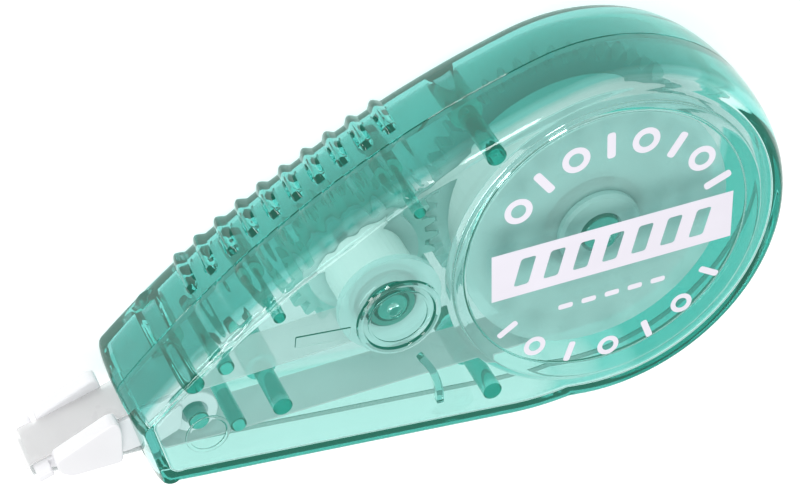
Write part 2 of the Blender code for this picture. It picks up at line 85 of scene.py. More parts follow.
LEAST_INNER_NOSE = 1.4      # the inner wall's corners stay at least this round
LEAST_INNER_HEEL = 1.9
CEILING_FILLET = 0.45
INSIDE = THICKNESS - WALL / 2   # a level within the front face's plate
FOOT = WALL / 2                 # a level within the back face's plate

# ---- what stands inside the case -------------------------------------------------------------------
SUPPLY_AXIS = (0.0, 0.0)
TAKE_UP_AXIS = tuple(c / MM for c in frame["joints"][2]["pos_m"][:2])
AXLE_RADIUS = 1.9
AXLE_TOP = 12.2
SMALL_AXLE_RADIUS = 1.5
SMALL_AXLE_TOP = 12.0
AXLE_PIN_RADIUS = 0.75
SMALL_AXLE_PIN_RADIUS = 0.65
PIN_CLEARANCE = 0.05
TIP_POST = (-38.7, -14.6)
TIP_POST_RADIUS = 1.0
TIP_POST_TOP = 11.2
GUIDES = ((-34.6, -16.4), (-36.2, -9.2))
GUIDE_RADIUS = 0.8
GUIDE_TOP = 10.8
SOCKETS = ((-12.4, 11.5), (-40.0, -8.7), (-31.2, -13.3), (-9.6, -16.5))
SOCKET_RADIUS = 1.6
SOCKET_PIN_RADIUS = 0.95
SMALL_SOCKETS = ((-19.4, 6.6), (-32.2, -2.6))
SMALL_SOCKET_RADIUS = 1.2
SMALL_SOCKET_PIN_RADIUS = 0.6
SOCKET_TOP = 6.8
STIFFENER_CENTRE = (-24.6, -17.2)
STIFFENER_RADIUS = 9.6
STIFFENER_HALF_WIDTH = 0.35
STIFFENER_DEPTH = 0.8
TAPE_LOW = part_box("coated_tape_run")[0].z / MM
TAPE_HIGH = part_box("coated_tape_run")[1].z / MM
MOUTH_CLEARANCE = 0.5

# ---- what stands on the front face -----------------------------------------------------------------
LIP_RADIUS = 4.2
LIP_HEIGHT = 0.3
INNER_LIP = (2.8, 3.05)
INNER_LIP_HEIGHT = 0.1
BAR_LOW = (-30.8, -5.85)
BAR_HIGH = (-25.4, -4.6)
BAR_HEIGHT = 0.14
MARK_PLACE = (-38.7, -14.2)
MARK_RADII = (1.75, 2.15)
MARK_HEIGHT = 0.12

# ---- the tip ---------------------------------------------------------------------------------------
BLADE_HALF_WIDTH = 2.6
TIP_EYE_RADIUS = 2.3
TIP_EYE_BORE = 1.3
TIP_RIMS = 0.12
FLANGE_RIMS = 0.2
TIP_OVERLAP = 0.25          # how far a flange reaches into the blade
BLADE_OUTLINE = (
    (-53.2, -17.4), (-49.2, -15.75), (-45.2, -14.1), (-42.5, -13.3), (-40.0, -13.2),
    (-40.0, -16.0), (-42.5, -17.4), (-45.0, -18.05), (-51.2, -18.35), (-52.9, -18.15),
)
TIP_BAR_OUTLINE = ((-53.98, -17.7), (-52.7, -17.15), (-52.35, -17.8), (-53.78, -18.42))
TIP_FLANGE_OUTLINE = (
    (-52.4, -16.35), (-49.8, -14.75), (-47.2, -13.15), (-46.45, -13.2),
    (-46.05, -14.3), (-45.85, -17.95), (-50.6, -18.5), (-51.9, -17.9),
)

# ---- the print -------------------------------------------------------------------------------------
INK = 0.02
BOX_SIZE = (24.7, 5.45)
BOX_CENTRE = (0.33, -0.27)
BOX_TURN_DEG = 6.6
BOX_BARS = 7
BOX_BAR_SPACING = 3.0
SLANTED_BAR = ((-1.15, -1.55), (0.35, -1.55), (1.15, 1.55), (-0.35, 1.55))
TOP_MARKS = (8, 11.7, 150, 28, 1.0)         # count, radius, first and last bearing, size
LOW_MARKS = (7, 12.5, -140, -26, 0.8)
MARK_BAR = (2.9, 0.85)
MARK_RING = (1.4, 0.75)
DASHES = 5
DASH_SIZE = (1.5, 0.6)
DASH_SPACING = 2.4
DASH_CENTRE = (1.0, -5.9)


# ---- working by hand -------------------------------------------------------------------------------
def deselect():
    if bpy.context.object is not None and bpy.context.object.mode != "OBJECT":
        bpy.ops.object.mode_set(mode="OBJECT")
    bpy.ops.object.select_all(action="DESELECT")


def take(piece):
    """Make a piece the only one selected, and active."""
    deselect()
    piece.select_set(True)
    bpy.context.view_layer.objects.active = piece
    return piece


def named(name):
    piece = bpy.context.object
    piece.name = name
    piece.data.name = name
    return piece


def settle(piece):
    """Put a piece's place and turn into its mesh."""
    take(piece)
    bpy.ops.object.transform_apply(location=True, rotation=True, scale=True)
    return piece


def rod(name, centre, radius, z0, z1, segments=48, soften=0.0):
    """A round post or plate standing along Z, with its rims softened."""
    deselect()
    bpy.ops.mesh.primitive_cylinder_add(
        vertices=segments,
        radius=radius * MM,
        depth=(z1 - z0) * MM,
        location=(centre[0] * MM, centre[1] * MM, (z0 + z1) / 2 * MM),
    )
    piece = settle(named(name))
    if soften:
        bevel(piece, soften)
    return piece


def bevel(piece, width, segments=3, limit_deg=40):
    take(piece)
    step = piece.modifiers.new("Bevel", "BEVEL")
    step.width = width * MM
    step.segments = segments
    step.limit_method = "ANGLE"
    step.angle_limit = math.radians(limit_deg)
    bpy.ops.object.modifier_apply(modifier=step.name)
    return piece


def join(target, tool, operation="UNION"):
    """Join a tool to a piece or cut it away, and remove the tool."""
    take(target)
    step = target.modifiers.new("Boolean", "BOOLEAN")
    step.operation = operation
    step.solver = "EXACT"
    step.object = tool
    bpy.ops.object.modifier_apply(modifier=step.name)
    bpy.data.objects.remove(tool)
    return target


def smooth(piece, degrees=32):
    """Smooth shading that keeps flat faces flat beside their rounded rims."""
    take(piece)
    bpy.ops.object.shade_smooth_by_angle(angle=math.radians(degrees))
    step = piece.modifiers.new("Normals", "WEIGHTED_NORMAL")
    step.keep_sharp = True
    bpy.ops.object.modifier_apply(modifier=step.name)
    return piece


def grown(name, rings):
    """A closed body: a filled circle moved onto the first ring, then extruded to each next one."""
    deselect()
    bpy.ops.mesh.primitive_circle_add(vertices=len(rings[0]), radius=MM, fill_type="NGON")
    piece = named(name)
    bpy.ops.object.mode_set(mode="EDIT")
    mesh = bmesh.from_edit_mesh(piece.data)
    column = mesh.verts.layers.int.new("column")
    for i, vertex in enumerate(mesh.verts):
        vertex[column] = i
        vertex.co = rings[0][i] * MM
    bmesh.update_edit_mesh(piece.data)
    for ring in rings[1:]:
        bpy.ops.mesh.extrude_region()
        mesh = bmesh.from_edit_mesh(piece.data)
        column = mesh.verts.layers.int["column"]
        for vertex in mesh.verts:
            if vertex.select:
                vertex.co = ring[vertex[column]] * MM
        bmesh.update_edit_mesh(piece.data)
    bpy.ops.mesh.select_all(action="SELECT")
    bpy.ops.mesh.normals_make_consistent(inside=False)
    bpy.ops.object.mode_set(mode="OBJECT")
    piece.data.attributes.remove(piece.data.attributes["column"])
    return piece


def turned(name, profile, centre=(0, 0), segments=96, rims=0.0):
    """A ring spun about Z from a closed (radius, z) profile, its rims softened."""
    deselect()
    bpy.ops.mesh.primitive_circle_add(vertices=len(profile), radius=MM, fill_type="NOTHING")
    piece = named(name)
    for vertex, (radius, z) in zip(piece.data.vertices, profile):
        vertex.co = Vector((radius, 0, z)) * MM
    bpy.ops.object.mode_set(mode="EDIT")
    bpy.ops.mesh.select_all(action="SELECT")
    bpy.ops.mesh.spin(steps=segments, angle=2 * math.pi, center=(0, 0, 0), axis=(0, 0, 1))
    bpy.ops.mesh.select_all(action="SELECT")
    bpy.ops.mesh.remove_doubles(threshold=0.001 * MM)
    bpy.ops.mesh.normals_make_consistent(inside=False)
    bpy.ops.object.mode_set(mode="OBJECT")
    piece.location = (centre[0] * MM, centre[1] * MM, 0)
    settle(piece)
    if rims:
        bevel(piece, rims, 2)
    return smooth(piece)


def extruded(name, outline, z0, z1, rims=0.0, segments=3):
    """A plate with this outline, its edges softened."""
    ring = np.array([(x, y, z0) for x, y in outline], float)
    top = ring.copy()
    top[:, 2] = z1
    piece = grown(name, [ring, top])
    if rims:
        bevel(piece, rims, segments)
    return piece


# ---- the case's outline ----------------------------------------------------------------------------
def unit(degrees):
    return np.array([math.cos(math.radians(degrees)), math.sin(math.radians(degrees))])


def arc_rows(centre, radius, angles, barrels, ribs=None):
    """Rows of (point, outward normal, barrel, rib) along an arc."""
    ribs = np.zeros(len(angles)) if ribs is None else ribs
    return [(centre + radius * unit(a), unit(a), b, r) for a, b, r in zip(angles, barrels, ribs)]


def rib_bump(slope_deg):
    """Height of the grip ribs, from 0 to 1, at a place on the ribbed edge."""
    place = (RIB_START_DEG - slope_deg) / math.degrees(RIB_PITCH / TOP_RADIUS)
    nearest = min(max(round(place), 0), RIB_COUNT - 1)
    away = abs(place - nearest) / RIB_HALF_WIDTH
    return math.cos(math.pi / 2 * away) ** 1.3 if away < 1 else 0.0


def case_outline(inset):
    """The case's outline at the parting line, drawn in by inset."""
    out_x = unit(180 + MOUTH_LEAN_DEG)
    mouth_down = np.array([-out_x[1], out_x[0]])
    mouth_deg = 180 + MOUTH_LEAN_DEG
    fillet = max(NOSE_FILLET - inset, LEAST_INNER_NOSE)
    heel_fillet = max(HEEL_FILLET - inset, LEAST_INNER_HEEL)
    top_start = 90 + TOP_TANGENT_DEG
    round_centre = np.array(ROUND_CENTRE)
    top_centre = round_centre - (TOP_RADIUS - ROUND_RADIUS) * unit(top_start)
    bend_centre = np.array([BOTTOM_BEND_X, BOTTOM_Y + BOTTOM_BEND_RADIUS])

    apart = round_centre - bend_centre
    span = math.hypot(*apart)
    bend_radius = BOTTOM_BEND_RADIUS - inset
    round_radius = ROUND_RADIUS - inset
    cosine = (bend_radius**2 + span**2 - round_radius**2) / (2 * bend_radius * span)
    bend_end = math.degrees(math.atan2(apart[1], apart[0]) - math.acos(cosine))
    kink = bend_centre + bend_radius * unit(bend_end)
    kink_round = math.degrees(math.atan2(*(kink - round_centre)[::-1]))

    inner_mouth = np.array(MOUTH_POINT) - (inset + fillet) * out_x
    reach = TOP_RADIUS - inset - fillet
    offset = inner_mouth - top_centre
    along = -(offset @ mouth_down)
    corner_top = inner_mouth - (math.sqrt(along**2 - offset @ offset + reach**2) - along) * mouth_down
    top_end = math.degrees(math.atan2(*(corner_top - top_centre)[::-1]))
    inner_heel = np.array(MOUTH_POINT) - (inset + heel_fillet) * out_x
    corner_low = inner_heel + (BOTTOM_Y + inset + heel_fillet - inner_heel[1]) / mouth_down[1] * mouth_down

    turn = np.linspace(kink_round + 3, top_start, 111)[:-1]
    rows = arc_rows(round_centre, round_radius, turn, np.full(110, BARREL))
    rib_deg = math.degrees(RIB_PITCH / TOP_RADIUS)
    first = 90 + RIB_START_DEG - (RIB_COUNT - 0.5) * rib_deg
    last = 90 + RIB_START_DEG + 0.5 * rib_deg
    edge = np.concatenate([
        np.linspace(top_start, first, 21)[:-1],
        np.linspace(first, last, RIB_COUNT * 14 + 1),
        np.linspace(last, top_end, 10)[1:-1],
    ])
    toward_nose = np.clip((edge - top_start) / (top_end - top_start) * 2 - 1, 0, 1)
    barrels = BARREL + (MOUTH_BARREL - BARREL) * toward_nose
    rows += arc_rows(top_centre, TOP_RADIUS - inset, edge, barrels, [rib_bump(a - 90) for a in edge])
    corner = np.linspace(top_end, mouth_deg, 9)
    rows += arc_rows(corner_top, fillet, corner, np.full(9, MOUTH_BARREL))
    heel = np.linspace(mouth_deg, 270, 11)
    rows += arc_rows(corner_low, heel_fillet, heel, np.linspace(MOUTH_BARREL, BARREL, 11))
    for x in np.linspace(corner_low[0], BOTTOM_BEND_X, 13)[1:]:
        rows.append((np.array([x, BOTTOM_Y + inset]), unit(270), BARREL, 0.0))
    bend = np.linspace(270, bend_end + 360, 9)[1:]
    rows += arc_rows(bend_centre, bend_radius, bend, np.full(8, BARREL))
    return rows


def barrel_ring(rows, level, z, rib_height=0.0, further_in=0.0):
    """The outline at a level between the parting line (0) and a face (1), where the wall draws in."""
    draw_in = 1 - math.sqrt(max(0.0, 1 - level**2))
    ring = np.empty((len(rows), 3))
    for i, (point, normal, barrel, rib) in enumerate(rows):
        ring[i, :2] = point - (barrel * draw_in + further_in - rib_height * rib) * normal
    ring[:, 2] = z
    return ring


def front_rib(level):
    """The front half's ribs are lower. They rise from the rim and run out to points at the face."""
    rise = min(level / 0.12, 1.0)
    return FRONT_RIB_HEIGHT * rise * (2 - rise) * max(0.0, 1 - level / 0.97) ** 0.6


def back_rib(level):
    """The back half's ribs start a little below the rim, with round ends, and run to the back face."""
    start = RIB_BAND / PARTING_Z
    rise = min(max((level - start) / 0.13, 0.0), 1.0)
    return BACK_RIB_HEIGHT * math.sqrt(rise * (2 - rise)) * (1 - level**60)


def half_shell(name, rim_z, face_z, rib_height):
    """One half of the case, grown from its inner face, down the inner wall, round the rim and out."""
    rows = case_outline(0.0)
    inner_rows = case_outline(WALL)
    way = 1 if face_z > rim_z else -1
    depth = abs(face_z - rim_z)
    ceiling = 1 - WALL / depth
    inner_z = face_z - way * WALL
    rings = [
        barrel_ring(inner_rows, ceiling, inner_z, further_in=0.5),
        barrel_ring(inner_rows, ceiling, inner_z, further_in=0.3),
        barrel_ring(inner_rows, ceiling, inner_z - way * 0.12, further_in=0.12),
        barrel_ring(inner_rows, ceiling, inner_z - way * CEILING_FILLET),
    ]
    for level in (0.75, 0.5, 0.25, 0.06):
        rings.append(barrel_ring(inner_rows, level * ceiling, rim_z + way * level * ceiling * depth))
    rings.append(barrel_ring(inner_rows, 0.0, rim_z))
    rings.append(barrel_ring(rows, 0.0, rim_z, rib_height(0.0), RIM_CHAMFER))
    for bearing in np.linspace(0.35, 90, SHELL_STEPS + 1):
        level = math.sin(math.radians(bearing))
        rings.append(barrel_ring(rows, level, rim_z + way * level * depth, rib_height(level)))
    rings.append(barrel_ring(rows, 1.0, face_z, 0.0, 0.15))
    return grown(name, rings)


# ---- the case --------------------------------------------------------------------------------------
def mouth_cutter():
    outline = [(-50.0, -18.95), (-41.0, -18.95), (-41.0, -11.5), (-44.6, -13.2), (-50.0, -13.2)]
    return extruded("mouth_cutter", outline, TAPE_LOW - MOUTH_CLEARANCE, TAPE_HIGH + MOUTH_CLEARANCE)


def back_shell():
    shell = half_shell("back_shell", PARTING_Z - PARTING_GAP / 2, 0.0, back_rib)
    join(shell, rod("axle", SUPPLY_AXIS, AXLE_RADIUS, FOOT, AXLE_TOP, 64, 0.25))
    join(shell, rod("small_axle", TAKE_UP_AXIS, SMALL_AXLE_RADIUS, FOOT, SMALL_AXLE_TOP, 48, 0.25))
    join(shell, rod("tip_post", TIP_POST, TIP_POST_RADIUS, FOOT, TIP_POST_TOP, 40, 0.2))
    for place in GUIDES:
        join(shell, rod("guide", place, GUIDE_RADIUS, FOOT, GUIDE_TOP, 32, 0.15))
    for place in SOCKETS:
        join(shell, rod("socket", place, SOCKET_RADIUS, FOOT, SOCKET_TOP, 40, 0.15))
    for place in SMALL_SOCKETS:
        join(shell, rod("socket", place, SMALL_SOCKET_RADIUS, FOOT, SOCKET_TOP, 32, 0.15))
    join(shell, mouth_cutter(), "DIFFERENCE")
    return smooth(shell)


def raised_disc():
    """The round disc: a foot with a soft step, a rounded lip and a flat top."""
    top = THICKNESS + DISC_RISE
    levels = [
        (DISC_FOOT_RADIUS, THICKNESS - 0.6),
        (DISC_FOOT_RADIUS, THICKNESS - 0.02),
        (DISC_FOOT_RADIUS - 0.12, THICKNESS + 0.06),
        (DISC_RADIUS + 0.12, THICKNESS + 0.14),
        (DISC_RADIUS + 0.03, THICKNESS + 0.22),
        (DISC_RADIUS, top - 0.2),
        (DISC_RADIUS - 0.06, top - 0.07),
        (DISC_RADIUS - 0.2, top),
        (DISC_RADIUS - 0.6, top),
    ]
    turns = np.radians(np.arange(144) * 2.5)
    return grown("disc", [
        np.stack([r * np.cos(turns), r * np.sin(turns), np.full(144, z)], axis=1) for r, z in levels
    ])


def bearing_lip():
    """The round lip on the front face above the small axle. The low ring within it is made as a face ring
    of its own.
    """
    face = THICKNESS
    profile = [
        (3.45, INSIDE), (LIP_RADIUS, INSIDE), (LIP_RADIUS, face + 0.06), (4.08, face + 0.22),
        (3.85, face + LIP_HEIGHT), (3.62, face + 0.24), (3.5, face + 0.1), (3.45, face - 0.05),
    ]
    return turned("lip", profile, TAKE_UP_AXIS, 96)


def face_ring(name, radii, height, centre, segments):
    """A low ring standing on the front face."""
    inner, outer = radii
    top = THICKNESS + height
    profile = [(inner, INSIDE), (outer, INSIDE), (outer, top), (inner, top)]
    return turned(name, profile, centre, segments, 0.05)


def face_bar():
    (left, low), (right, high) = BAR_LOW, BAR_HIGH
    outline = [(left, low), (right, low), (right, high), (left, high)]
    return extruded("bar", outline, INSIDE, THICKNESS + BAR_HEIGHT, 0.12, 4)


def stiffener():
    """A short curved rib under the front face."""
    turns = [unit(a) for a in np.linspace(43, 3, 17)]
    centre = np.array(STIFFENER_CENTRE)
    outer = [centre + STIFFENER_RADIUS * t + STIFFENER_HALF_WIDTH * t for t in turns]
    inner = [centre + STIFFENER_RADIUS * t - STIFFENER_HALF_WIDTH * t for t in turns]
    return extruded("stiffener", outer + inner[::-1], THICKNESS - WALL - STIFFENER_DEPTH, INSIDE, 0.1, 2)


def pin(place, radius, post_top, top, segments, soften):
    """A pin that hangs from the front face to just above a post of the back half."""
    return rod("pin", place, radius, post_top + PIN_CLEARANCE, top, segments, soften)


def front_shell():
    shell = half_shell("front_shell", PARTING_Z + PARTING_GAP / 2, THICKNESS, front_rib)
    join(shell, raised_disc())
    join(shell, bearing_lip())
    join(shell, face_ring("inner_lip", INNER_LIP, INNER_LIP_HEIGHT, TAKE_UP_AXIS, 80))
    join(shell, face_bar())
    join(shell, face_ring("mark", MARK_RADII, MARK_HEIGHT, MARK_PLACE, 64))
    pocket_top = THICKNESS + DISC_RISE - WALL
    pocket = rod("pocket", SUPPLY_AXIS, DISC_POCKET_RADIUS, THICKNESS - WALL - 1, pocket_top, 144, 0.3)
    join(shell, pocket, "DIFFERENCE")
    join(shell, mouth_cutter(), "DIFFERENCE")
    join(shell, pin(SUPPLY_AXIS, AXLE_PIN_RADIUS, AXLE_TOP, THICKNESS, 32, 0.1))
    join(shell, pin(TAKE_UP_AXIS, SMALL_AXLE_PIN_RADIUS, SMALL_AXLE_TOP, INSIDE, 32, 0.1))
    for place in SOCKETS:
        join(shell, pin(place, SOCKET_PIN_RADIUS, SOCKET_TOP, INSIDE, 32, 0.12))
    for place in SMALL_SOCKETS:
        join(shell, pin(place, SMALL_SOCKET_PIN_RADIUS, SOCKET_TOP, INSIDE, 24, 0.1))
    join(shell, stiffener())
    return smooth(shell)


# ---- the tip ---------------------------------------------------------------------------------------
def rounded(outline, radius, steps=4):
    """An outline with its corners turned into short arcs of about this radius."""
    points = [np.array(p, float) for p in outline]
    made = []
    for before, corner, after in zip([points[-1]] + points, points, points[1:] + points[:1]):
        reach = min(radius, np.linalg.norm(before - corner) * 0.45, np.linalg.norm(after - corner) * 0.45)
        start = corner + (before - corner) / np.linalg.norm(before - corner) * reach
        end = corner + (after - corner) / np.linalg.norm(after - corner) * reach
        for t in np.linspace(0, 1, steps + 1):
            made.append(tuple((1 - t) ** 2 * start + 2 * t * (1 - t) * corner + t**2 * end))
    return made


def tip():
    """The applicator: a ramp for the tape between two side flanges, a cross bar and the eye on its post."""
    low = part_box("applicator_tip")[0].z / MM
    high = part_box("applicator_tip")[1].z / MM
    blade_low = (low + high) / 2 - BLADE_HALF_WIDTH
    blade_high = (low + high) / 2 + BLADE_HALF_WIDTH
    piece = extruded("tip", rounded(BLADE_OUTLINE, 0.5), blade_low, blade_high, TIP_RIMS)
    join(piece, extruded("bar", rounded(TIP_BAR_OUTLINE, 0.2), low, high, TIP_RIMS))
    flange = rounded(TIP_FLANGE_OUTLINE, 0.55)
    join(piece, extruded("flange", flange, low, blade_low + TIP_OVERLAP, FLANGE_RIMS))
    join(piece, extruded("flange", flange, blade_high - TIP_OVERLAP, high, FLANGE_RIMS))
    join(piece, rod("eye", TIP_POST, TIP_EYE_RADIUS, blade_low + 0.3, blade_high - 0.3, 64, 0.15))
    join(piece, rod("bore", TIP_POST, TIP_EYE_BORE, 0, THICKNESS, 48), "DIFFERENCE")
    return smooth(piece, 40)


# ---- the print on the disc -------------------------------------------------------------------------
def placed(outline, centre, turn_deg):
    """An outline turned about its own origin and moved to its centre."""
    x_way, y_way = unit(turn_deg), unit(turn_deg + 90)
    return [tuple(np.array(centre) + x * x_way + y * y_way) for x, y in outline]


def plate(width, height):
    """A rectangle's outline about its own centre."""
    x, y = width / 2, height / 2
    return [(-x, -y), (x, -y), (x, y), (-x, y)]


def along_box(centre, i, count, spacing):
    """The place of one of a row of marks that lies along the printed box."""
    return np.array(centre) + (i - (count - 1) / 2) * spacing * unit(BOX_TURN_DEG)


def arc_mark(name, ring, radius, bearing, base, size):
    """One mark of an arc: a ring, or a bar that points at the disc's centre."""
    centre = radius * unit(bearing)
    if ring:
        outer, inner = MARK_RING
        mark = rod(name, centre, outer * size, base, base + INK, 40)
        return join(mark, rod("hole", centre, inner * size, base - 1, base + 1, 32), "DIFFERENCE")
    long, wide = MARK_BAR
    outline = placed(rounded(plate(long * size, wide * size), 0.35 * size), centre, bearing)
    return extruded(name, outline, base, base + INK)


def disc_print():
    """White ink on the disc: a box with slanted bars left clear, two arcs of marks and a row of dashes."""
    base = THICKNESS + DISC_RISE
    piece = extruded("disc_print", placed(plate(*BOX_SIZE), BOX_CENTRE, BOX_TURN_DEG), base, base + INK)
    for i in range(BOX_BARS):
        centre = along_box(BOX_CENTRE, i, BOX_BARS, BOX_BAR_SPACING)
        outline = placed(rounded(SLANTED_BAR, 0.3), centre, BOX_TURN_DEG)
        join(piece, extruded("bar", outline, base - 1, base + 1), "DIFFERENCE")
    marks = [piece]
    for arc, first_is_ring in ((TOP_MARKS, True), (LOW_MARKS, False)):
        count, radius, first, last, size = arc
        for i, bearing in enumerate(np.linspace(first, last, count)):
            marks.append(arc_mark("mark", (i % 2 == 0) == first_is_ring, radius, bearing, base, size))
    for i in range(DASHES):
        centre = along_box(DASH_CENTRE, i, DASHES, DASH_SPACING)
        outline = placed(rounded(plate(*DASH_SIZE), 0.25), centre, BOX_TURN_DEG)
        marks.append(extruded("dash", outline, base, base + INK))
    deselect()
    for mark in marks:
        mark.select_set(True)
    bpy.context.view_layer.objects.active = piece
    bpy.ops.object.join()
    take(piece)
    bpy.ops.object.shade_smooth_by_angle(angle=math.radians(30))
    return piece


# ---- shader maths ----------------------------------------------------------------------------------
class Value:
    """A node socket that takes part in sums. Each sign adds a Math node."""

    def __init__(self, tree, socket):
        self.tree = tree
        self.socket = socket

    def maths(self, operation, first, second=None):
        node = self.tree.nodes.new("ShaderNodeMath")
        node.operation = operation
        for place, value in ((0, first), (1, second)):
            if isinstance(value, Value):
                self.tree.links.new(value.socket, node.inputs[place])
            elif value is not None:
                node.inputs[place].default_value = value
        return Value(self.tree, node.outputs[0])

    def __add__(self, other):
        return self.maths("ADD", self, other)

    def __mul__(self, other):
        return self.maths("MULTIPLY", self, other)

    __radd__ = __add__
    __rmul__ = __mul__

    def at_least(self, other):
        return self.maths("MAXIMUM", self, other)


class Finish:
    """A material under construction: its tree, its shader and one method for every other node."""

    def __init__(self, name, **shader_values):
        self.material = bpy.data.materials.new(name)
        self.material.use_nodes = True
        self.tree = self.material.node_tree
        self.shader = self.tree.nodes["Principled BSDF"]
        self.out = self.tree.nodes["Material Output"]
        for socket, value in shader_values.items():
            self.shader.inputs[socket.replace("_", " ")].default_value = value

    def node(self, kind, settings=None, output=0, **values):
        made = self.tree.nodes.new(kind)
        for name, value in (settings or {}).items():
            if name == "stops":
                ramp = made.color_ramp
                while len(ramp.elements) < len(value):
                    ramp.elements.new(0.5)
                for element, (place, colour) in zip(ramp.elements, value):
                    element.position = place
                    element.color = (*colour, 1)
            else:
                setattr(made, name, value)
        for name, value in values.items():
            key = int(name[1:]) if name[0] == "i" and name[1:].isdigit() else name.replace("_", " ")
            self.feed(made.inputs[key], value)
        return Value(self.tree, made.outputs[output])

    def feed(self, socket, value):
        if isinstance(value, Value):
            self.tree.links.new(value.socket, socket)
        else:
            socket.default_value = value

    def set(self, socket, value):
        self.feed(self.shader.inputs[socket], value)

    def place(self):
        return self.node("ShaderNodeTexCoord", output=3)

    def noise(self, scale, detail=2.0, vector=None):
        where = self.place() if vector is None else vector
        return self.node("ShaderNodeTexNoise", Vector=where, Scale=scale, Detail=detail)

    def ramp(self, value, *stops):
        return self.node("ShaderNodeValToRGB", {"stops": stops}, Fac=value)

    def bump(self, height, strength, distance):
        made = self.node("ShaderNodeBump", Height=height, Strength=strength, Distance=distance)
        self.set("Normal", made)


def blend(made, factor, second):
    """Mix the shader with another one and send the result to the surface."""
    mixed = made.node("ShaderNodeMixShader", i0=factor)
    made.tree.links.new(made.shader.outputs[0], mixed.socket.node.inputs[1])
    made.tree.links.new(second.socket, mixed.socket.node.inputs[2])
    made.tree.links.new(mixed.socket, made.out.inputs["Surface"])


def part_of_thickness(made):
    """The height above the back face, as a part of the case's thickness."""
    return made.node("ShaderNodeSeparateXYZ", output=2, Vector=made.place()) * (1 / (THICKNESS * MM))


def clear_teal():
    """See-through teal, one plastic tinted by place: the standing walls and posts take a deep tint that is
    painted shade, the faces a light one, and the lower side wall a lighter one that is painted light.
    Light reaches what it covers, and a faint painted glow stands in for light caught in its edges."""
    # wall is a painted-shade tint for the standing walls and posts; low is a painted-light tint for the
    # lower side wall.
    back, wall, front, low = (0.86, 0.74, 0.77), (0.07, 0.44, 0.39), (0.9, 0.94, 0.93), (0.58, 0.74, 0.72)
    # Painted glow: a faint teal emission over the whole case stands in for light caught in its edges; the
    # plastic is no lamp.
    made = Finish("clear_teal", Transmission_Weight=1.0, IOR=1.52, Emission_Strength=0.025)
    made.set("Emission Color", (0.03, 1.0, 0.7, 1))
    height = part_of_thickness(made) + made.noise(240.0) * 0.02
    # Painted shade: between the back and front plates, the standing walls and posts take the deep wall
    # tint.
    standing = made.ramp(height, (0.12, back), (0.15, wall), (0.86, wall), (0.9, front))
    side = made.node("ShaderNodeSeparateXYZ", output=1, Vector=made.place()) * (-1 / (40 * MM))
    # Painted light: the lower side wall takes the lighter low tint.
    lit_low_side = made.ramp(side, (0.465, (0, 0, 0)), (0.48, (1, 1, 1)))
    colour = made.node("ShaderNodeMix", {"data_type": "RGBA"}, 2, i0=lit_low_side, i6=standing, i7=(*low, 1))
    made.set("Base Color", colour)
    made.set("Roughness", made.noise(900.0, 3.0) * 0.04 + 0.006)
    made.bump(made.noise(110.0, 1.0), 0.12, 0.00008)
    shadow = made.node("ShaderNodeLightPath", output="Is Shadow Ray")
    diffuse = made.node("ShaderNodeLightPath", output="Is Diffuse Ray")
    through = made.node("ShaderNodeBsdfTransparent", Color=(*[c ** 0.35 for c in front], 1))
    blend(made, shadow.at_least(diffuse), through)
    depth = made.node("ShaderNodeVolumeAbsorption", Color=(0.1, 0.8, 0.75, 1), Density=130.0)
    made.tree.links.new(depth.socket, made.out.inputs["Volume"])
    return made.material


def moulded(name, colour, roughness, subsurface=0.0, grain=0.05):
    """Opaque moulded plastic with a faint cloudiness and a fine satin grain."""
    made = Finish(name, IOR=1.49)
    cloud = made.noise(160.0)
    made.set("Base Color", made.ramp(cloud, (0.3, colour), (0.75, tuple(c * 0.95 for c in colour))))
    made.set("Roughness", made.noise(500.0, 3.0) * 0.15 + (roughness - 0.07))
    made.bump(made.noise(2400.0, 3.0), grain, 0.00003)
    if subsurface:
        made.set("Subsurface Weight", subsurface)
        made.set("Subsurface Radius", (1.0, 1.0, 1.0))
        made.set("Subsurface Scale", 0.001)
    return made.material


def cloudy_plastic(name, colour, see_through, upper=None):
    """Milky plastic: part body colour, part see-through. It may take another colour above the gears."""
    made = Finish(name, IOR=1.49, Roughness=0.3)
    cloud = made.noise(150.0)
    if upper:
        height = part_of_thickness(made) + cloud * 0.02
        made.set("Base Color", made.ramp(height, (0.28, colour), (0.34, upper)))
    else:
        made.set("Base Color", made.ramp(cloud, (0.3, colour), (0.75, tuple(c * 0.93 for c in colour))))
    made.set("Roughness", made.noise(420.0) * 0.15 + 0.22)
    through = made.node("ShaderNodeBsdfTransparent", Color=(*colour, 1))
    blend(made, made.noise(90.0) * 0.1 + (see_through - 0.05), through)
    return made.material


def wound(name, colour, dark, centre, pitch):
    """Tape wound on a reel: fine rings round the reel's axis on its end faces."""
    made = Finish(name, IOR=1.46)
    shifted = made.node("ShaderNodeVectorMath", {"operation": "SUBTRACT"}, i0=made.place(),
                        i1=(centre[0] * MM, centre[1] * MM, 0))
    rings = made.node("ShaderNodeTexWave", {"wave_type": "RINGS", "rings_direction": "Z"}, Vector=shifted,
                      Scale=1 / (pitch * MM) / 20, Distortion=0.6, Detail=2.0)
    made.set("Base Color", made.ramp(rings, (0.2, dark), (0.8, colour)))
    made.set("Roughness", made.noise(600.0) * 0.2 + 0.45)
    made.bump(rings, 0.2, 0.00002)
    return made.material


# ---- stage -----------------------------------------------------------------------------------------
LENS = 127.8
SENSOR_WIDTH = 36.0
CAMERA_PLACE = (-110.3, 156.94, 197.37)
CAMERA_RIGHT = (0.92271, 0.08611, 0.37575)
CAMERA_BACK = (-0.34911, 0.6, 0.71981)
FLOOR_SIZE = 3.0            # in metres
FLOOR_Z = -0.00005          # in metres
WORLD_STRENGTH = 0.55


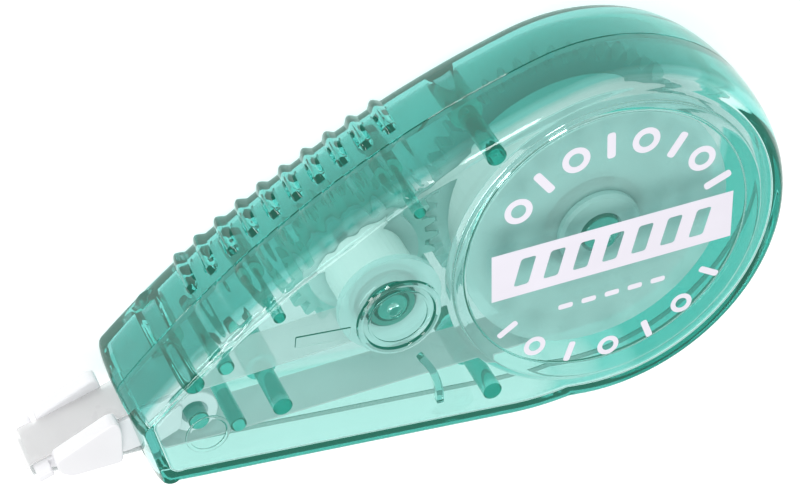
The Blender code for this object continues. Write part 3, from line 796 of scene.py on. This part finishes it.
def camera():
    deselect()
    bpy.ops.object.camera_add()
    made = named("camera")
    made.data.lens = LENS
    made.data.sensor_width = SENSOR_WIDTH
    made.data.clip_start = 0.01
    made.data.clip_end = 10.0
    back = Vector(CAMERA_BACK).normalized()
    up = back.cross(Vector(CAMERA_RIGHT)).normalized()
    right = up.cross(back)
    turn = Matrix((right, up, back)).transposed().to_4x4()
    made.matrix_world = Matrix.Translation(Vector(CAMERA_PLACE) * MM) @ turn
    bpy.context.scene.camera = made


def floor():
    deselect()
    bpy.ops.mesh.primitive_plane_add(size=FLOOR_SIZE, location=(0, 0, FLOOR_Z))
    piece = named("floor")
    bpy.ops.object.mode_set(mode="EDIT")
    bpy.ops.mesh.subdivide(number_cuts=4)
    bpy.ops.object.mode_set(mode="OBJECT")
    settle(piece)
    made = Finish("pale_paper", Roughness=0.7, Emission_Strength=0.42)
    made.set("Emission Color", (1, 1, 1, 1))
    made.set("Base Color", made.ramp(made.noise(4.0), (0.3, (0.85, 0.85, 0.85)), (0.7, (0.87, 0.87, 0.87))))
    piece.data.materials.append(made.material)


def lamp(name, place, aim, size, power):
    deselect()
    bpy.ops.object.light_add(type="AREA", location=[c * MM for c in place])
    made = named(name)
    made.data.shape = "RECTANGLE"
    made.data.size = size[0] * MM
    made.data.size_y = size[1] * MM
    made.data.energy = power
    way = Vector([a - b for a, b in zip(aim, place)])
    made.rotation_euler = way.to_track_quat("-Z", "Y").to_euler()
    return made


def light():
    world = bpy.data.worlds.new("studio")
    bpy.context.scene.world = world
    world.use_nodes = True
    sky = world.node_tree.nodes["Background"]
    sky.inputs[0].default_value = (1, 1, 1, 1)
    sky.inputs[1].default_value = WORLD_STRENGTH
    lamp("soft_box", (-150, -60, 420), (-15, 0, 5), (260, 260), 1.0)
    lamp("spot_left", (-260, 120, 130), (-20, 0, 5), (60, 60), 0.11)
    lamp("spot_right", (-100, 262, 165), (-20, 0, 5), (60, 60), 0.13)


# ---- making ----------------------------------------------------------------------------------------
def finish_piece(piece, body, slot, material, *nodes):
    piece.data.materials.clear()
    piece.data.materials.append(material)
    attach(piece, body)
    if nodes:
        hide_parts(*nodes)


def dress(node, material):
    """Give a CAD node that stays its finish."""
    piece = frame["nodes"][node]
    piece.data.materials.clear()
    piece.data.materials.append(material)


def main():
    camera()
    floor()
    light()
    bpy.context.scene.view_settings.view_transform = "Standard"
    teal = clear_teal()
    finish_piece(back_shell(), "case", "clear_teal", teal, "back_cover")
    finish_piece(front_shell(), "case", "clear_teal", teal, "front_cover")
    satin = moulded("satin_white", (0.82, 0.82, 0.84), 0.42, 0.15)
    finish_piece(tip(), "case", "white_plastic", satin, "applicator_tip")
    finish_piece(disc_print(), "case", "white_plastic", moulded("white_ink", (0.84, 0.81, 0.89), 0.5))
    dress_nodes()


def dress_nodes():
    """The finishes of the CAD nodes that stay."""
    pale = cloudy_plastic("pale_plastic", (0.8, 0.93, 0.92), 0.5)
    for node in ("supply_reel", "hub_cap", "take_up_spool"):
        dress(node, pale)
    dress("supply_gear", cloudy_plastic("tinted_plastic", (0.66, 0.84, 0.82), 0.7))
    sleeve = cloudy_plastic("sleeve_plastic", (0.5, 0.8, 0.76), 0.4, (0.1, 0.42, 0.35))
    dress("take_up_gear", sleeve)
    dress("friction_ring", moulded("dark_rubber", (0.05, 0.06, 0.06), 0.7))
    tape_roll = wound("tape_roll", (0.66, 0.7, 0.69), (0.52, 0.57, 0.56), SUPPLY_AXIS, 0.3)
    dress("correction_tape_roll", tape_roll)
    film_roll = wound("film_roll", (0.8, 0.88, 0.86), (0.6, 0.7, 0.68), TAKE_UP_AXIS, 0.25)
    dress("used_film_roll", film_roll)
    dress("coated_tape_run", cloudy_plastic("tape_white", (0.84, 0.86, 0.86), 0.5))
    dress("carrier_film_run", cloudy_plastic("film", (0.92, 0.92, 0.92), 0.62))


main()
